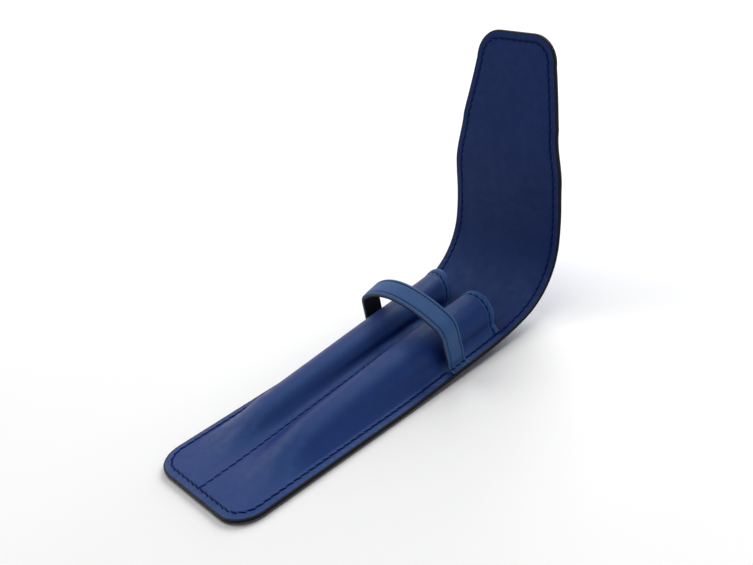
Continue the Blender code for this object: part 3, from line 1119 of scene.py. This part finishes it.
def stitch_piece(name, stations, normals, step):
    """Stitches as one mesh, from each one's stations on the leather and the directions out of it."""
    onward = unit(np.gradient(stations, axis=1))
    sideways = np.cross(onward, normals)
    share = station_shares[:, None]
    middle = stations + normals * (stitch_lift - stitch_dive * np.abs(2 * share) ** 5)
    middle = middle + sideways * stitch_slant * share * step
    angle = 2 * np.pi * np.arange(ring_sides) / ring_sides
    slim = 1 - stitch_taper * np.abs(2 * share) ** 4
    wide = np.cos(angle) * thread_half_width * slim
    high = np.sin(angle) * thread_half_height * slim
    rings = middle[:, :, None] + sideways[:, :, None] * wide[..., None]
    rings = rings + normals[:, :, None] * high[..., None]
    grid = np.arange(rings.size // 3).reshape(rings.shape[:3])
    faces = [face for stitch in grid for face in tube_faces(stitch)]
    lengthwise = np.arange(len(grid))[:, None, None] * ply_shift + share * step
    thread_place = flat_points(*np.broadcast_arrays(lengthwise, angle / (2 * np.pi), 0.0))
    return mesh_piece(name, rings, faces, [0] * len(faces), [thread], thread_place=thread_place)


# %% Stitches along the outline, on the front and on the underside
strap_clearance = 0.3 * mm
mouth_step_run = 0.6 * mm


def under_strap(side, s):
    """Whether places on the stitch line lie under a foot of the strap."""
    front = strap_place - side * strap_skew * (half_width - stitch_inset)
    return (s > front - strap_clearance) & (s < front + strap_width + strap_clearance)


def outline_stations(side, runs, front):
    """Stations along the stitch line, and the directions out of the leather there."""
    if front:
        runs = runs[~under_strap(side, np.interp(runs.mean(axis=1), line_run, line_s))]
    x = np.interp(runs, line_run, line_x) * side
    s = np.interp(runs, line_run, line_s)
    past_mouth = smooth((s - mouth_place + side * mouth_skew) / mouth_step_run + 0.5)
    height = (margin_height + (lining_top - margin_height) * past_mouth) * front
    points, normal = raised(back_surface, x, s, height, side_step)
    return points, normal if front else -normal


stitch_runs = stitch_stations(half_stitches, stitch_step)
length_of_stitch = np.searchsorted(cuts, np.interp(stitch_runs.mean(axis=1), line_run, line_s))
for front, where in ((True, "front"), (False, "underside")):
    for i, length_name in enumerate(length_names):
        runs = stitch_runs[length_of_stitch == i]
        left = outline_stations(-1, runs, front)
        right = outline_stations(1, runs, front)
        points, normals = (np.concatenate(pair) for pair in zip(left, right))
        piece = stitch_piece(f"{length_name}_outline_thread_{where}", points, normals, stitch_step)
        bend_with_flap(piece, i)

# %% Stitches through the strap's feet
foot_stitch_setback = 2.0 * mm
foot_stitches = 3
foot_stitch_share = 0.9
foot_stitch_height = 1.74 * mm
share_step = 0.02
foot_step = strap_width / foot_stitches
foot_runs = stitch_stations(foot_stitches, foot_step, foot_stitch_share)
foot_shares = foot_runs / strap_width * 2 - 1


def foot_surface(share, s):
    """The strap's outer side."""
    return strap_point(share, s, foot_stitch_height)


for side, end, name in ((1, right_length, "strap_thread_right"), (-1, left_length, "strap_thread_left")):
    at = np.full_like(foot_shares, side * (end - foot_stitch_setback))
    points, normals = raised(foot_surface, foot_shares, at, 0.0, share_step)
    outward = normals * np.sign(normals[..., 2:])
    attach(stitch_piece(name, points, outward, foot_step), "case")

# %% Stitches along the seam between the channels, and along each mouth
fine_points = 400
seam_start = stitch_inset
seam_end = mouth_place - mouth_notch - 0.8 * mm
seam_count = round((seam_end - seam_start) / stitch_pitch)
seam_step = (seam_end - seam_start) / seam_count
seam_s = seam_start + stitch_stations(seam_count, seam_step)
front_rows = np.linspace(0, mouth_place, fine_points)
seam_row = np.interp(seam_s, front_rows - mouth_notch * mouth_wave(front_rows), front_rows)
at_seam = np.zeros_like(seam_row)
points, normals = raised(front_surface, at_seam, seam_row, pocket_thickness, column_step)
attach(stitch_piece("seam_thread_front", points, normals, seam_step), "case")
points, normals = raised(back_surface, at_seam, seam_s, 0.0, side_step)
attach(stitch_piece("seam_thread_underside", points, -normals, seam_step), "case")
hem_stitch_inset = 2.2 * mm
hem_stitch_height = 0.76 * mm
hem_stitch_start = hem_start_column + 0.5
hem_stitch_end = hem_end_column - 0.1


def hem_thread(name, side):
    """Stitches along one mouth hem, evenly spaced on the curve that it follows."""
    column = side * np.linspace(hem_stitch_start, hem_stitch_end, fine_points)
    s = np.full_like(column, mouth_place - hem_stitch_inset)
    lift = np.maximum(hem_lift(hem_stitch_height, hem_fullness(column)), pocket_thickness)
    points, normals = raised(front_surface, column, s, lift, column_step)
    run = run_along(points)
    count = round(run[-1] / stitch_pitch)
    step = run[-1] / count
    at = stitch_stations(count, step)
    stations, outward = (np.stack([np.interp(at, run, values) for values in line.T], -1)
                         for line in (points, normals))
    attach(stitch_piece(name, stations, unit(outward), step), "case")
    return count


for side, name in ((-1, "mouth_thread_left"), (1, "mouth_thread_right")):
    print(name, hem_thread(name, side), "stitches")

# %% [markdown]
# The photograph was taken on a bright white table. One large soft lamp behind the case makes the
# broad highlights on the channels' left flanks and the narrow shadow on their right, and three
# weaker ones, on the left, on the right and above, fill in the rest. The sky gives little light
# of its own, but the camera and every reflection see it white.

# %% Table, lamps and sky
table_size = 3.2
table_drop = 0.15 * mm
lamp_target = (0, 0.02, 0.02)
lamps = {  # place, width and power
    "back_lamp": ((-0.50, 2.02, 1.25), 2.2, 77),
    "left_lamp": ((-1.60, -0.40, 1.75), 1.4, 15),
    "right_lamp": ((1.95, 0.10, 0.72), 1.2, 4.5),
    "top_lamp": ((0, 0.08, 2.4), 1.4, 15),
}
sky_light = 0.05
sky_seen = 1.0


def table_finish():
    """Plain white table, with a faint unevenness in its gloss."""
    finish, tree, shader = new_finish("white_table")
    spot = add(tree, "ShaderNodeTexCoord").outputs["Object"]
    shader.inputs["Base Color"].default_value = (0.96, 0.96, 0.96, 1)
    uneven = between(tree, noise(tree, spot, 12.0), 0.3, 0.7, 0.55, 0.7)
    tree.links.new(uneven, shader.inputs["Roughness"])
    shader.inputs["Specular IOR Level"].default_value = 0.25
    return finish


def look(back):
    """Axes of something that looks away from this direction, with its top side up."""
    back = unit(back)
    right = unit(np.cross((0, 0, 1), back))
    return np.stack([right, np.cross(back, right), back], axis=1)


bpy.ops.mesh.primitive_plane_add(size=table_size, location=(0, 0, -table_drop))
table = bpy.context.object
table.name = "white_table"
table.data.materials.append(table_finish())
table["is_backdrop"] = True

for name, (position, width, power) in lamps.items():
    lamp = bpy.data.lights.new(name, "AREA")
    lamp.shape = "SQUARE"
    lamp.size = width
    lamp.energy = power
    facing = look(np.array(position) - np.array(lamp_target))
    new_object(name, lamp).matrix_world = Matrix.Translation(position) @ Matrix(facing).to_4x4()

sky = bpy.data.worlds.new("sky")
bpy.context.scene.world = sky
sky.use_nodes = True
tree = sky.node_tree
background = tree.nodes["Background"]
rays = add(tree, "ShaderNodeLightPath").outputs
seen = maths(tree, "MAXIMUM", rays["Is Camera Ray"], rays["Is Transmission Ray"])
seen = maths(tree, "MAXIMUM", seen, rays["Is Glossy Ray"])
level = add(tree, "ShaderNodeMapRange", {"Value": seen, "To Min": sky_light, "To Max": sky_seen})
tree.links.new(level.outputs["Result"], background.inputs["Strength"])
background.inputs["Color"].default_value = (1, 1, 1, 1)
print("lamps:", ", ".join(f"{name} {power} W" for name, (position, width, power) in lamps.items()))

# %% [markdown]
# The camera was found by fitting a lens and a viewpoint to points of the case in the photograph.
# It stands to the right of the bottom end and looks down across the case.

# %% Camera
photo_width = 753
focal_pixels = 1015.8
camera_data = bpy.data.cameras.new("camera")
camera_data.sensor_width = 36
camera_data.lens = focal_pixels / photo_width * camera_data.sensor_width
camera_data.clip_start = 0.01
camera = new_object("camera", camera_data)
camera_right = (0.64029, 0.74348, -0.19305)
camera_up = (-0.26219, 0.44776, 0.85485)
camera_back = (0.72200, -0.49674, 0.48163)
camera_place = (249.88 * mm, -85.43 * mm - middle_y, 201.18 * mm)
axes = Matrix((camera_right, camera_up, camera_back)).transposed().to_4x4()
camera.matrix_world = Matrix.Translation(camera_place) @ axes
bpy.context.scene.camera = camera
bpy.context.scene.view_settings.view_transform = "Standard"
print(f"camera: {camera_data.lens:.1f} mm lens")

# %% The boxes of the measured case and of the visible one
visible_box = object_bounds()
boxes = {"cad": [list(corner) for corner in cad_box], "visual": [list(corner) for corner in visible_box]}
for kind, box in boxes.items():
    print(kind, "box, mm:", [[round(v / mm, 1) for v in corner] for corner in box])
